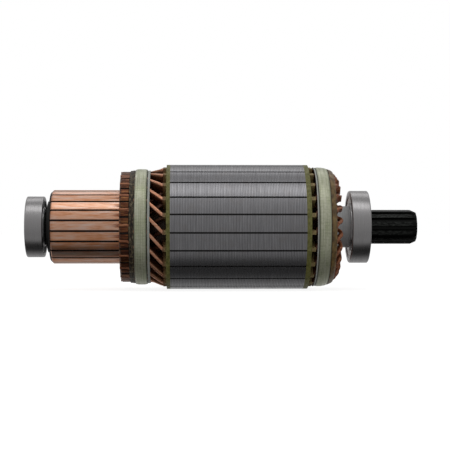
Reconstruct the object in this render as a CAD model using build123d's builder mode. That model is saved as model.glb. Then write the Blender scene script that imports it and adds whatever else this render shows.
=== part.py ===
from build123d import *
import math
import os

# Armature of a direct current motor: the wound rotor with its commutator, its glass bands and its two
# ball bearings. The shaft lies along X, from the commutator end at -X to the splined drive end at +X,
# with Z up. The origin is on the shaft's axis, in the middle of the drive end bearing.
# Sizes are in millimetres. Angles are in degrees about X, counted from +Y towards +Z.

# Slots and commutator bars
slot_count = 22
slot_pitch = 360 / slot_count
slot_angle = 5.25
mica_lead = 1.13
slots_spanned = 5
nose_shift = 5.2

# Lengths along the shaft, from the drive end bearing towards the commutator
drive_shoulder_length = 9.2
drive_overhang = 27.1
drive_insulator_thickness = 3.9
core_length = 113.0
commutator_insulator_thickness = 3.1
commutator_overhang = 31.1
riser_width = 7.8
brush_track_length = 58.5
collar_thickness = 1.3
commutator_shoulder_length = 5.5

# Lamination core
core_diameter = 106.4
core_yoke_depth = 13.6
slot_opening = 1.5
slot_lip_depth = 1.2
slot_width = 3.6

# Slot filling, from the wedge down to the slot's floor
wedge_thickness = 1.1
liner_thickness = 0.3
commutator_cuff_length = 3.0
drive_cuff_length = 3.6
separator_thickness = 0.4
slot_clearance = 0.1

# Hairpin coils of flat copper bar
strip_height = 8.0
strip_thickness = 2.8
nose_gap = 2.2
layer_gap = 1.2
lead_drop = 3.6
nose_drop = 5.7

# Commutator
riser_rim = 0.1
riser_height = 15.7
riser_chamfer = 1.4
bar_chamfer = 1.2
mica_thickness = 1.0
mica_undercut = 0.8
anchor_cover = 3.9
anchor_lean = 1.4
anchor_depth = 10.0
anchor_horn_setback = 3.0
collar_step = 1.2
rear_flange_thickness = 1.6
moulding_wall = 1.5
bush_wall = 2.5
commutator_seat_step = 2.0

# Glass bands, their edge tapes, the lashing beside the risers and the wrapping beside the coil noses
band_clearance = 0.3
lashing_width = 3.8
lashing_thickness = 1.1
commutator_band_width = 10.5
commutator_band_thickness = 2.1
commutator_band_profile = ((0, 0.6), (0.2, 0.9), (0.55, 1), (0.85, 0.9), (1, 0.65))
drive_band_width = 10.1
drive_band_thickness = 1.8
commutator_tape_width = 2.0
drive_tape_width = 1.3
edge_tape_thickness = 0.9
winding_step = 0.4
drive_tape_setback = 1.4
drive_tape_lift = 0.3
wrapping_width = 4.2
wrapping_lift = 0.8
wrapping_thickness = 0.7

# Supports under and between the layers of the winding
support_clearance = 0.5
layer_insulator_thickness = 0.5
layer_insulator_clearance = 0.2

# Shaft
drive_abutment_diameter = 35.5
commutator_abutment_diameter = 31.0
shaft_end_setback = 0.3
shaft_end_chamfer = 1.0
spline_length = 41.0
spline_runout = 0.6
spline_diameter = 29.3
spline_teeth = 12
spline_angle = 5.0
spline_groove_depth = 2.3
spline_groove_mouth = 3.9
spline_flank_angle = 70.0
spline_end_chamfer_length = 4.6
spline_end_chamfer_depth = 2.0
centre_hole_diameter = 4.0
centre_hole_mouth = 8.0
centre_hole_depth = 9.0

# Bearings
commutator_bearing_bore = 25.0
commutator_bearing_outside = 52.0
commutator_bearing_width = 15.0
commutator_bearing_ball = 7.94
commutator_bearing_balls = 9
drive_bearing_bore = 30.0
drive_bearing_outside = 62.0
drive_bearing_width = 16.0
drive_bearing_ball = 9.52
drive_bearing_balls = 9
ring_chamfer = 1.0
race_clearance = 0.06
race_shoulder = 0.6
cover_thickness = 1.0
cover_inset = 0.6
cover_bite = 0.8
cover_gap = 0.3
cage_wall = 2.4
cage_pocket_clearance = 0.12
cage_side_wall = 0.5

# Places along the shaft that follow from the lengths
drive_bearing_face = -drive_bearing_width / 2
winding_end = drive_bearing_face - drive_shoulder_length
drive_insulator_face = winding_end - drive_overhang
core_drive_face = drive_insulator_face - drive_insulator_thickness
core_commutator_face = core_drive_face - core_length
commutator_insulator_face = core_commutator_face - commutator_insulator_thickness
riser_back = commutator_insulator_face - commutator_overhang
riser_front = riser_back - riser_width
bar_front = riser_front - brush_track_length
collar_front = bar_front - collar_thickness
commutator_bearing_face = collar_front - commutator_shoulder_length
commutator_bearing_centre = commutator_bearing_face - commutator_bearing_width / 2
shaft_commutator_end = commutator_bearing_face - commutator_bearing_width + shaft_end_setback
spline_start = drive_bearing_width / 2 + spline_runout
shaft_drive_end = spline_start + spline_length
commutator_cuff_end = commutator_insulator_face - commutator_cuff_length
drive_cuff_end = drive_insulator_face + drive_cuff_length
rear_flange_face = riser_back + rear_flange_thickness

# Radii in the slot, from the rim down
core_radius = core_diameter / 2
slot_top = core_radius - slot_lip_depth
wedge_bottom = slot_top - slot_clearance - wedge_thickness
upper_top = wedge_bottom - slot_clearance
upper_slot_radius = upper_top - strip_height / 2
separator_top = upper_top - strip_height - slot_clearance
lower_top = separator_top - separator_thickness - slot_clearance
lower_slot_radius = lower_top - strip_height / 2
liner_floor = lower_top - strip_height - slot_clearance
slot_bottom = liner_floor - liner_thickness - slot_clearance
core_seat_radius = slot_bottom - core_yoke_depth

# Radii of the conductors outside the slots
upper_lead_radius = upper_slot_radius - lead_drop
lower_lead_radius = upper_lead_radius - strip_height - layer_gap
upper_nose_radius = upper_slot_radius - nose_drop
lower_nose_radius = upper_nose_radius - strip_height - layer_gap
nose_bend_radius = (strip_thickness + nose_gap) / 2
nose_middle = winding_end - nose_bend_radius - strip_thickness / 2

# Radii of the commutator, whose risers reach just past the leads that they hold
riser_radius = upper_lead_radius + strip_height / 2 + riser_rim
bar_radius = riser_radius - riser_height
anchor_mouth_radius = bar_radius - anchor_cover
anchor_root_radius = anchor_mouth_radius - anchor_lean
commutator_seat_radius = core_seat_radius - commutator_seat_step
bush_radius = commutator_seat_radius + bush_wall
bar_bottom_radius = bush_radius + moulding_wall

os.makedirs("parts", exist_ok=True)


# Shaft, with the splined end and a centre hole in each end face
with BuildPart() as shaft:
    with BuildSketch(Plane.XY):
        with BuildLine():
            Polyline(
                (shaft_commutator_end, 0),
                (shaft_commutator_end, commutator_bearing_bore / 2 - shaft_end_chamfer),
                (shaft_commutator_end + shaft_end_chamfer, commutator_bearing_bore / 2),
                (commutator_bearing_face, commutator_bearing_bore / 2),
                (commutator_bearing_face, commutator_abutment_diameter / 2),
                (collar_front, commutator_abutment_diameter / 2),
                (collar_front, commutator_seat_radius),
                (rear_flange_face, commutator_seat_radius),
                (rear_flange_face, core_seat_radius),
                (nose_middle, core_seat_radius),
                (nose_middle, drive_abutment_diameter / 2),
                (drive_bearing_face, drive_abutment_diameter / 2),
                (drive_bearing_face, drive_bearing_bore / 2),
                (spline_start, drive_bearing_bore / 2),
                (spline_start, spline_diameter / 2),
                (shaft_drive_end - spline_end_chamfer_length, spline_diameter / 2),
                (shaft_drive_end, spline_diameter / 2 - spline_end_chamfer_depth),
                (shaft_drive_end, 0),
                close=True,
            )
        make_face()
    revolve(axis=Axis.X)
    with BuildSketch(Plane.YZ.offset(spline_start)):
        groove_radius = spline_diameter / 2 - spline_groove_depth / 2
        with PolarLocations(groove_radius, spline_teeth, start_angle=spline_angle):
            Trapezoid(spline_groove_mouth, spline_groove_depth, spline_flank_angle, rotation=90)
    extrude(amount=spline_length, mode=Mode.SUBTRACT)
    with Locations(
        Plane(origin=(shaft_commutator_end, 0, 0), z_dir=(-1, 0, 0)),
        Plane(origin=(shaft_drive_end, 0, 0), z_dir=(1, 0, 0)),
    ):
        CounterSinkHole(centre_hole_diameter / 2, centre_hole_mouth / 2, depth=centre_hole_depth)
shaft.part.label = "shaft"
export_step(shaft.part, "parts/shaft.step")


# Lamination core: every sheet has the same outline, so the pressed stack is one extrusion
with BuildPart() as lamination_core:
    with BuildSketch(Plane.YZ.offset(core_commutator_face)):
        Circle(core_radius)
        Circle(core_seat_radius, mode=Mode.SUBTRACT)
        with PolarLocations((slot_top + slot_bottom) / 2, slot_count, start_angle=slot_angle):
            Rectangle(slot_top - slot_bottom, slot_width, mode=Mode.SUBTRACT)
        with PolarLocations(core_radius, slot_count, start_angle=slot_angle):
            Rectangle(2 * slot_lip_depth, slot_opening, mode=Mode.SUBTRACT)
    extrude(amount=core_length)
lamination_core.part.label = "lamination_core"
export_step(lamination_core.part, "parts/lamination_core.step")


# End insulators: moulded discs whose slot windows are closed at the rim
def end_insulator(face, thickness):
    with BuildPart() as insulator:
        with BuildSketch(Plane.YZ.offset(face)):
            Circle(core_radius)
            Circle(core_seat_radius, mode=Mode.SUBTRACT)
            with PolarLocations((slot_top + slot_bottom) / 2, slot_count, start_angle=slot_angle):
                Rectangle(slot_top - slot_bottom, slot_width, mode=Mode.SUBTRACT)
        extrude(amount=thickness)
    return insulator


commutator_end_insulator = end_insulator(commutator_insulator_face, commutator_insulator_thickness)
commutator_end_insulator.part.label = "commutator_end_insulator"
export_step(commutator_end_insulator.part, "parts/commutator_end_insulator.step")

drive_end_insulator = end_insulator(core_drive_face, drive_insulator_thickness)
drive_end_insulator.part.label = "drive_end_insulator"
export_step(drive_end_insulator.part, "parts/drive_end_insulator.step")


# Slot liners: a paper trough in each slot, folded shut over the coil in a cuff at both ends
liner_bottom = liner_floor - liner_thickness
liner_width = slot_width - 2 * slot_clearance
liner_length = drive_cuff_end - commutator_cuff_end
with BuildPart() as slot_liners:
    with BuildSketch(Plane.YZ.offset(commutator_cuff_end)):
        with PolarLocations((wedge_bottom + liner_bottom) / 2, slot_count, start_angle=slot_angle):
            Rectangle(wedge_bottom - liner_bottom, liner_width)
        with PolarLocations((core_radius + liner_floor) / 2, slot_count, start_angle=slot_angle):
            Rectangle(core_radius - liner_floor, liner_width - 2 * liner_thickness, mode=Mode.SUBTRACT)
    extrude(amount=liner_length)
    for cuff_face, cuff_length in (
        (commutator_insulator_face, -commutator_cuff_length),
        (drive_insulator_face, drive_cuff_length),
    ):
        with BuildSketch(Plane.YZ.offset(cuff_face)):
            with PolarLocations(wedge_bottom + liner_thickness / 2, slot_count, start_angle=slot_angle):
                Rectangle(liner_thickness, liner_width)
        extrude(amount=cuff_length)
slot_liners.part.label = "slot_liners"
export_step(slot_liners.part, "parts/slot_liners.step")


# Slot wedges: they close each slot under the lips of its teeth
wedge_length = drive_insulator_face - commutator_insulator_face
with BuildPart() as slot_wedges:
    with BuildSketch(Plane.YZ.offset(commutator_insulator_face)):
        with PolarLocations(wedge_bottom + wedge_thickness / 2, slot_count, start_angle=slot_angle):
            Rectangle(wedge_thickness, slot_width - 2 * slot_clearance)
    extrude(amount=wedge_length)
slot_wedges.part.label = "slot_wedges"
export_step(slot_wedges.part, "parts/slot_wedges.step")


# Layer separators: a strip between the upper and the lower conductor of each slot
with BuildPart() as layer_separators:
    with BuildSketch(Plane.YZ.offset(commutator_cuff_end)):
        with PolarLocations(separator_top - separator_thickness / 2, slot_count, start_angle=slot_angle):
            Rectangle(separator_thickness, strip_thickness)
    extrude(amount=liner_length)
layer_separators.part.label = "layer_separators"
export_step(layer_separators.part, "parts/layer_separators.step")


# Hairpin coils. A coil runs from a riser through the top of its slot to its nose at the drive end,
# and back through the bottom of the slot five pitches away to the next riser.
upper_lead_turn = mica_lead + slot_pitch / 2 - 3 * slot_pitch
lower_lead_turn = mica_lead + slot_pitch / 2 + slot_pitch
nose_turn = -slots_spanned / 2 * slot_pitch - nose_shift
lower_slot_turn = -slots_spanned * slot_pitch

# Shape of an overhang, as shares of its length, of its turn and of its change of radius. The leads start
# gently and drop at once to the height of the risers; the bends at the drive end are even.
lead_shape = ((0.2, 0.17, 0.55), (0.4, 0.345, 1.0), (0.7, 0.67, 1.0))
bend_shape = ((0.14, 0.12, 0.28), (0.4, 0.4, 0.3), (0.7, 0.7, 0.46), (0.85, 0.87, 0.68))
nose_turns = (0, 45, 90, 135, 180)


def strip_plane(x, angle, radius, heading):
    """The section of a conductor: x points outwards and z follows the strip, turned by heading from +X."""
    around = math.radians(angle)
    turned = math.radians(heading)
    outward = Vector(0, math.cos(around), math.sin(around))
    sideways = Vector(0, -math.sin(around), math.cos(around))
    along = Vector(math.cos(turned), 0, 0) + sideways * math.sin(turned)
    return Plane(origin=Vector(x, 0, 0) + outward * radius, x_dir=outward, z_dir=along)


def backwards(shape):
    """The shares of an overhang, counted from its other end."""
    return [tuple(1 - value for value in share) for share in reversed(shape)]


def overhang(start, end, shape):
    """Stations between two ends, each (x, angle, radius), headed along the line of their neighbours."""
    shares = [(0, 0, 0), *shape, (1, 1, 1)]
    places = [tuple(a + (b - a) * s for a, b, s in zip(start, end, share)) for share in shares]
    stations = []
    for before, here, after in zip(places, places[1:], places[2:]):
        sideways = math.radians(after[1] - before[1]) * here[2]
        stations.append((*here, math.degrees(math.atan2(sideways, after[0] - before[0]))))
    return stations


def coil_stations():
    """The whole path of one coil, whose upper leg lies in the slot at angle 0."""
    upper_riser = (riser_back, upper_lead_turn, upper_lead_radius)
    upper_out = (commutator_cuff_end, 0, upper_slot_radius)
    upper_in = (drive_cuff_end, 0, upper_slot_radius)
    half_nose = math.degrees(nose_bend_radius / upper_nose_radius)
    nose_start = (nose_middle, nose_turn + half_nose, upper_nose_radius)
    nose_end = (nose_middle, nose_turn - half_nose, lower_nose_radius)
    lower_in = (drive_cuff_end, lower_slot_turn, lower_slot_radius)
    lower_out = (commutator_cuff_end, lower_slot_turn, lower_slot_radius)
    lower_riser = (riser_back, lower_slot_turn + lower_lead_turn, lower_lead_radius)
    stations = [(riser_front, *upper_riser[1:], 0), (*upper_riser, 0)]
    stations += overhang(upper_riser, upper_out, backwards(lead_shape))
    stations += [(*upper_out, 0), (*upper_in, 0)]
    stations += overhang(upper_in, nose_start, bend_shape)
    for turn in nose_turns:
        share = turn / 180
        x = nose_middle + nose_bend_radius * math.sin(math.radians(turn))
        angle = nose_turn + half_nose * math.cos(math.radians(turn))
        radius = upper_nose_radius + (lower_nose_radius - upper_nose_radius) * share
        stations.append((x, angle, radius, -turn))
    stations += overhang(nose_end, lower_in, backwards(bend_shape))
    stations += [(*lower_in, 180), (*lower_out, 180)]
    stations += overhang(lower_out, lower_riser, lead_shape)
    stations += [(*lower_riser, 180), (riser_front, *lower_riser[1:], 180)]
    return stations


with BuildPart() as coil:
    for station in coil_stations():
        with BuildSketch(strip_plane(*station)):
            Rectangle(strip_height, strip_thickness)
    loft(ruled=True)

slot_angles = [slot_angle + number * slot_pitch for number in range(slot_count)]
coil_copies = [Rot(X=angle) * coil.part.solid() for angle in slot_angles]
armature_coils = Compound(coil_copies)
armature_coils.label = "armature_coils"
export_step(armature_coils, "parts/armature_coils.step")


# Commutator bars: each is a copper wedge with anchor grooves in both ends and a slotted riser
bar_outline = [
    (bar_front, anchor_mouth_radius),
    (bar_front, bar_radius - bar_chamfer),
    (bar_front + bar_chamfer, bar_radius),
    (riser_front, bar_radius),
    (riser_front, riser_radius - riser_chamfer),
    (riser_front + riser_chamfer, riser_radius),
    (riser_back, riser_radius),
]
anchor_outline = [
    (riser_back, anchor_mouth_radius),
    (riser_back - anchor_depth, anchor_root_radius),
    (riser_back - anchor_horn_setback, bar_bottom_radius),
    (bar_front + anchor_horn_setback, bar_bottom_radius),
    (bar_front + anchor_depth, anchor_root_radius),
]
lead_slot_bottom = lower_lead_radius - strip_height / 2 - slot_clearance
with BuildPart() as bar_blank:
    with BuildSketch(Plane.XY.rotated((-slot_pitch / 2, 0, 0))):
        with BuildLine():
            Polyline(*bar_outline, *anchor_outline, close=True)
        make_face()
    revolve(axis=Axis.X, revolution_arc=slot_pitch)
    for side in (-1, 1):
        with BuildSketch(Plane.XY.rotated((side * slot_pitch / 2, 0, 0))):
            with Locations(((bar_front + riser_back) / 2, riser_radius)):
                Rectangle(2 * (riser_back - bar_front), 4 * riser_radius)
        extrude(amount=mica_thickness / 2, both=True, mode=Mode.SUBTRACT)
    with BuildSketch(Plane.XY):
        with Locations((riser_front, lead_slot_bottom)):
            Rectangle(2 * riser_width, riser_radius, align=(Align.MIN, Align.MIN))
    extrude(amount=strip_thickness / 2 + slot_clearance, both=True, mode=Mode.SUBTRACT)
for number, angle in enumerate(slot_angles, start=1):
    with BuildPart() as commutator_bar:
        add(bar_blank.part, rotation=(angle + mica_lead + slot_pitch / 2, 0, 0))
    commutator_bar.part.label = f"commutator_bar_{number:02d}"
    export_step(commutator_bar.part, f"parts/commutator_bar_{number:02d}.step")


# Mica segments: plates between the bars, cut back below their surface
with BuildPart() as mica_segment:
    with BuildSketch(Plane.XY):
        with BuildLine():
            Polyline(
                (bar_front, anchor_mouth_radius),
                (bar_front, bar_radius - bar_chamfer - mica_undercut),
                (bar_front + bar_chamfer, bar_radius - mica_undercut),
                (riser_front + mica_undercut, bar_radius - mica_undercut),
                (riser_front + mica_undercut, riser_radius - riser_chamfer - mica_undercut),
                (riser_front + riser_chamfer + mica_undercut, riser_radius - mica_undercut),
                (riser_back, riser_radius - mica_undercut),
                *anchor_outline,
                close=True,
            )
        make_face()
    extrude(amount=mica_thickness / 2, both=True)
mica_copies = [Rot(X=angle + mica_lead) * mica_segment.part.solid() for angle in slot_angles]
mica_segments = Compound(mica_copies)
mica_segments.label = "mica_segments"
export_step(mica_segments, "parts/mica_segments.step")


# Commutator moulding: it fills the anchor grooves and shows as the dark collar in front of the bars
with BuildPart() as commutator_moulding:
    with BuildSketch(Plane.XY):
        with BuildLine():
            Polyline(
                (collar_front, bush_radius),
                (collar_front, bar_radius - 2 * collar_step),
                (bar_front, bar_radius - collar_step),
                (bar_front, anchor_mouth_radius),
                *reversed(anchor_outline),
                (rear_flange_face, anchor_mouth_radius),
                (rear_flange_face, bush_radius),
                close=True,
            )
        make_face()
    revolve(axis=Axis.X)
commutator_moulding.part.label = "commutator_moulding"
export_step(commutator_moulding.part, "parts/commutator_moulding.step")

# Commutator bush: the steel sleeve in the moulding, pressed on the shaft against its step
with BuildPart() as commutator_bush:
    with BuildSketch(Plane.YZ.offset(collar_front)):
        Circle(bush_radius)
        Circle(commutator_seat_radius, mode=Mode.SUBTRACT)
    extrude(amount=rear_flange_face - collar_front)
commutator_bush.part.label = "commutator_bush"
export_step(commutator_bush.part, "parts/commutator_bush.step")


def turned_ring(outer_line, inner_line):
    """A ring turned about the shaft, between an outer and an inner line of (x, radius) points."""
    with BuildPart() as ring:
        with BuildSketch(Plane.XY):
            with BuildLine():
                Polyline(*outer_line, *reversed(inner_line), close=True)
            make_face()
        revolve(axis=Axis.X)
    return ring


# Winding supports: they fill the space between the shaft and the lower conductors of the overhangs
half_strip = strip_height / 2
lower_lead_floor = lower_lead_radius - half_strip - support_clearance
lower_slot_floor = lower_slot_radius - half_strip - support_clearance
lead_length = commutator_cuff_end - riser_back
lead_drop_end = commutator_cuff_end - lead_shape[1][0] * lead_length
commutator_support = turned_ring(
    [
        (rear_flange_face, lower_lead_floor),
        (lead_drop_end, lower_lead_floor),
        (commutator_cuff_end, lower_slot_floor),
        (commutator_insulator_face, lower_slot_floor),
    ],
    [(rear_flange_face, core_seat_radius), (commutator_insulator_face, core_seat_radius)],
)
commutator_support.part.label = "commutator_end_winding_support"
export_step(commutator_support.part, "parts/commutator_end_winding_support.step")

bend_length = nose_middle - drive_cuff_end
bend_knees = [drive_cuff_end + share[0] * bend_length for share in bend_shape]


def bend_drop(x):
    """Share of their change of radius that the drive end bends have made at x."""
    reach = (x - drive_cuff_end) / bend_length
    shares = [(0, 0), *[(length, drop) for length, _, drop in bend_shape], (1, 1)]
    for (start, low), (end, high) in zip(shares, shares[1:]):
        if reach <= end:
            return low + (high - low) * (reach - start) / (end - start)
    return 1


lower_nose_drop = lower_slot_radius - lower_nose_radius
support_places = [drive_cuff_end, *bend_knees, nose_middle]
drive_support = turned_ring(
    [
        (drive_insulator_face, lower_slot_floor),
        *[(x, lower_slot_floor - lower_nose_drop * bend_drop(x)) for x in support_places],
    ],
    [(drive_insulator_face, core_seat_radius), (nose_middle, core_seat_radius)],
)
drive_support.part.label = "drive_end_winding_support"
export_step(drive_support.part, "parts/drive_end_winding_support.step")


# Layer insulator: a sleeve between the two layers of leads, where they lie level
layer_insulator_radius = lower_lead_radius + half_strip + layer_insulator_clearance
with BuildPart() as layer_insulator:
    with BuildSketch(Plane.YZ.offset(rear_flange_face)):
        Circle(layer_insulator_radius + layer_insulator_thickness)
        Circle(layer_insulator_radius, mode=Mode.SUBTRACT)
    extrude(amount=lead_drop_end - rear_flange_face)
layer_insulator.part.label = "lead_layer_insulator"
export_step(layer_insulator.part, "parts/lead_layer_insulator.step")


# Lashing: resin-soaked cord over the leads, beside the risers
leads_top = upper_lead_radius + half_strip + band_clearance
lashing_left = riser_back + band_clearance
lashing_right = lashing_left + lashing_width
lead_lashing = turned_ring(
    [(lashing_left, leads_top + lashing_thickness / 2), (lashing_right, leads_top + lashing_thickness)],
    [(lashing_left, leads_top), (lashing_right, leads_top)],
)
lead_lashing.part.label = "lead_lashing"
export_step(lead_lashing.part, "parts/lead_lashing.step")

# Commutator end band: glass tape wound over the leads, thickest in the middle, with a pale edge tape
band_left = lashing_right + winding_step
band_right = band_left + commutator_band_width
commutator_band = turned_ring(
    [
        (band_left + length * commutator_band_width, leads_top + rise * commutator_band_thickness)
        for length, rise in commutator_band_profile
    ],
    [(band_left, leads_top), (band_right, leads_top)],
)
commutator_band.part.label = "commutator_end_glass_band"
export_step(commutator_band.part, "parts/commutator_end_glass_band.step")

tape_left = band_right + winding_step
tape_right = tape_left + commutator_tape_width
commutator_edge_tape = turned_ring(
    [(tape_left, leads_top + edge_tape_thickness), (tape_right, leads_top + edge_tape_thickness / 2)],
    [(tape_left, leads_top), (tape_right, leads_top)],
)
commutator_edge_tape.part.label = "commutator_end_edge_tape"
export_step(commutator_edge_tape.part, "parts/commutator_end_edge_tape.step")


# At the drive end the coils dip towards their noses, so what is wound on them follows their slope
def wound_ring(left, right, lift, thickness):
    """A ring wound on the drive end bends from left to right, lifted off them and bent at their knees."""
    places = [left, *[knee for knee in bend_knees if left < knee < right], right]
    seat = upper_slot_radius + half_strip + band_clearance + lift
    inner = [(x, seat - nose_drop * bend_drop(x)) for x in places]
    return turned_ring([(x, radius + thickness) for x, radius in inner], inner)


drive_tape_left = drive_cuff_end + drive_tape_setback
drive_tape_right = drive_tape_left + drive_tape_width
drive_edge_tape = wound_ring(drive_tape_left, drive_tape_right, drive_tape_lift, edge_tape_thickness)
drive_edge_tape.part.label = "drive_end_edge_tape"
export_step(drive_edge_tape.part, "parts/drive_end_edge_tape.step")

drive_band_left = drive_tape_right + winding_step
drive_band_right = drive_band_left + drive_band_width
drive_band = wound_ring(drive_band_left, drive_band_right, 0, drive_band_thickness)
drive_band.part.label = "drive_end_glass_band"
export_step(drive_band.part, "parts/drive_end_glass_band.step")

# Wrapping: varnished tape over the bends, from the band to the noses
wrapping_left = drive_band_right + winding_step
wrapping_right = wrapping_left + wrapping_width
bend_wrapping = wound_ring(wrapping_left, wrapping_right, wrapping_lift, wrapping_thickness)
bend_wrapping.part.label = "bend_wrapping"
export_step(bend_wrapping.part, "parts/bend_wrapping.step")


def half_section(corner_low, corner_high):
    """A rectangle of the XY plane, between two corners given as (x, radius)."""
    with Locations(corner_low):
        Rectangle(
            corner_high[0] - corner_low[0],
            corner_high[1] - corner_low[1],
            align=(Align.MIN, Align.MIN),
        )


# Ball bearings. Each is named for its end of the shaft; its outer ring carries the two covers, which are
# rubber seals at the commutator end and steel shields at the drive end.
def bearing(end, cover, centre, bore, outside, width, ball, ball_count):
    """Builds and writes the six pieces of a deep groove ball bearing whose middle is at x = centre."""
    half_width = width / 2
    bore_radius = bore / 2
    outside_radius = outside / 2
    pitch_radius = (bore_radius + outside_radius) / 2
    race_radius = ball / 2 + race_clearance
    inner_shoulder = pitch_radius - race_radius * race_shoulder
    outer_shoulder = pitch_radius + race_radius * race_shoulder
    cover_outer_face = half_width - cover_inset
    cover_inner_face = cover_outer_face - cover_thickness

    with BuildPart() as inner_ring:
        with BuildSketch(Plane.XY):
            half_section((centre - half_width, bore_radius), (centre + half_width, inner_shoulder))
            chamfer(vertices(), ring_chamfer / 2)
            with Locations((centre, pitch_radius)):
                Circle(race_radius, mode=Mode.SUBTRACT)
        revolve(axis=Axis.X)
    inner_ring.part.label = f"{end}_bearing_inner_ring"
    export_step(inner_ring.part, f"parts/{end}_bearing_inner_ring.step")

    with BuildPart() as outer_ring:
        with BuildSketch(Plane.XY):
            half_section((centre - half_width, outer_shoulder), (centre + half_width, outside_radius))
            chamfer(vertices().group_by(Axis.Y)[-1], ring_chamfer)
            with Locations((centre, pitch_radius)):
                Circle(race_radius, mode=Mode.SUBTRACT)
            with Locations((centre - half_width, outer_shoulder), (centre + half_width, outer_shoulder)):
                Rectangle(2 * (half_width - cover_inner_face), 2 * cover_bite, mode=Mode.SUBTRACT)
        revolve(axis=Axis.X)
    outer_ring.part.label = f"{end}_bearing_outer_ring"
    export_step(outer_ring.part, f"parts/{end}_bearing_outer_ring.step")

    for side, place in (("inboard", -1), ("outboard", 1)):
        outward = place if end == "drive_end" else -place
        face = centre + outward * cover_inner_face
        with BuildPart() as bearing_cover:
            with BuildSketch(Plane.YZ.offset(face)):
                Circle(outer_shoulder + cover_bite)
                Circle(inner_shoulder + cover_gap, mode=Mode.SUBTRACT)
            extrude(amount=outward * cover_thickness)
        bearing_cover.part.label = f"{end}_bearing_{side}_{cover}"
        export_step(bearing_cover.part, f"parts/{end}_bearing_{side}_{cover}.step")

    with BuildPart(Plane.YZ.offset(centre)) as balls:
        with PolarLocations(pitch_radius, ball_count):
            Sphere(ball / 2)
    balls.part.label = f"{end}_bearing_balls"
    export_step(balls.part, f"parts/{end}_bearing_balls.step")

    pocket_radius = ball / 2 + cage_pocket_clearance
    cage_half_width = pocket_radius + cage_side_wall
    with BuildPart(Plane.YZ.offset(centre)) as cage:
        Cylinder(pitch_radius + cage_wall / 2, 2 * cage_half_width)
        Cylinder(pitch_radius - cage_wall / 2, 2 * cage_half_width, mode=Mode.SUBTRACT)
        with PolarLocations(pitch_radius, ball_count):
            Cylinder(pocket_radius, 2 * cage_wall, rotation=(0, 90, 0), mode=Mode.SUBTRACT)
    cage.part.label = f"{end}_bearing_cage"
    export_step(cage.part, f"parts/{end}_bearing_cage.step")


bearing(
    "commutator_end",
    "seal",
    commutator_bearing_centre,
    commutator_bearing_bore,
    commutator_bearing_outside,
    commutator_bearing_width,
    commutator_bearing_ball,
    commutator_bearing_balls,
)
bearing(
    "drive_end",
    "shield",
    0,
    drive_bearing_bore,
    drive_bearing_outside,
    drive_bearing_width,
    drive_bearing_ball,
    drive_bearing_balls,
)
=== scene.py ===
import math

import bmesh
import bpy
from mathutils import Matrix, Vector


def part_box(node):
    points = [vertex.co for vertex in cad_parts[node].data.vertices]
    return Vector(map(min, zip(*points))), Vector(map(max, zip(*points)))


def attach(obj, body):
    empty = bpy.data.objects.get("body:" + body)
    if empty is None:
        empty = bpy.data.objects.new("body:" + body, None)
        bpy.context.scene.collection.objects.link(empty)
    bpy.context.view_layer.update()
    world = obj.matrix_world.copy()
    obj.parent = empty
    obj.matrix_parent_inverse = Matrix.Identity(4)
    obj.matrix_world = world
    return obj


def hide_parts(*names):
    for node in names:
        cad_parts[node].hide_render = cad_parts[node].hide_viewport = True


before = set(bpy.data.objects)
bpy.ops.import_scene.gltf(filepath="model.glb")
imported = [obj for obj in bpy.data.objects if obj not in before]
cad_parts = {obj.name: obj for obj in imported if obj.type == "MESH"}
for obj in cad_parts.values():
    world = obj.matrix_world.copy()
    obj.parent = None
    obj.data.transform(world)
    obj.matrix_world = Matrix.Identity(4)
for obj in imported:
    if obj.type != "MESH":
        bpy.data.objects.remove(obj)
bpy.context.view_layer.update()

# Armature of a direct current motor. The shaft lies along X, from the commutator at -X to the splined
# drive end at +X. Shapes are drawn in millimetres and made metres once, when a piece is finished.
# Angles about the shaft are counted from +Y towards +Z.
MM = 0.001
WELD = 1e-4

# Slots, bars and the steps of a round shape
SLOT_COUNT = 22
PITCH = math.tau / SLOT_COUNT
SLOT_ANGLE = math.radians(5.25)
MICA_ANGLE = math.radians(1.13)
SLOTS_SPANNED = 5
NOSE_SHIFT = math.radians(5.2)
TOOTH_STEPS = 8
ROUND_STEPS = SLOT_COUNT * TOOTH_STEPS
NOSE_STEPS = 12

# Core
CORE_RADIUS = 53.2
SEAT_RADIUS = 20.0
SLOT_TOP = 52.0
SLOT_BOTTOM = 33.6
SLOT_HALF_WIDTH = 1.8
OPENING_HALF_WIDTH = 0.75
SHEET_PITCH = 1.3
WAVES_PER_SCALE = 20 / math.tau

# Copper strips of the winding
STRIP_HEIGHT = 8.0
STRIP_THICKNESS = 2.8
STRIP_EDGE = 0.6
UPPER_SLOT_RADIUS = 46.7
UPPER_EDGE_RADIUS = 44.5
LOWER_SLOT_RADIUS = 38.1
UPPER_LEAD_RADIUS = 43.1
LOWER_LEAD_RADIUS = 33.9
UPPER_NOSE_RADIUS = 41.0
LOWER_NOSE_RADIUS = 31.8
NOSE_GAP = 2.2
NOSE_BEND = (STRIP_THICKNESS + NOSE_GAP) / 2
LEAD_SHAPE = ((0, 0, 0), (0.2, 0.17, 0.55), (0.4, 0.345, 1.0), (0.7, 0.67, 1.0), (1, 1, 1))
BEND_SHAPE = (
    (0, 0, 0), (0.14, 0.12, 0.28), (0.4, 0.4, 0.3), (0.7, 0.7, 0.46), (0.85, 0.87, 0.68), (1, 1, 1),
)
KNEE_EASE = 0.04

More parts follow.
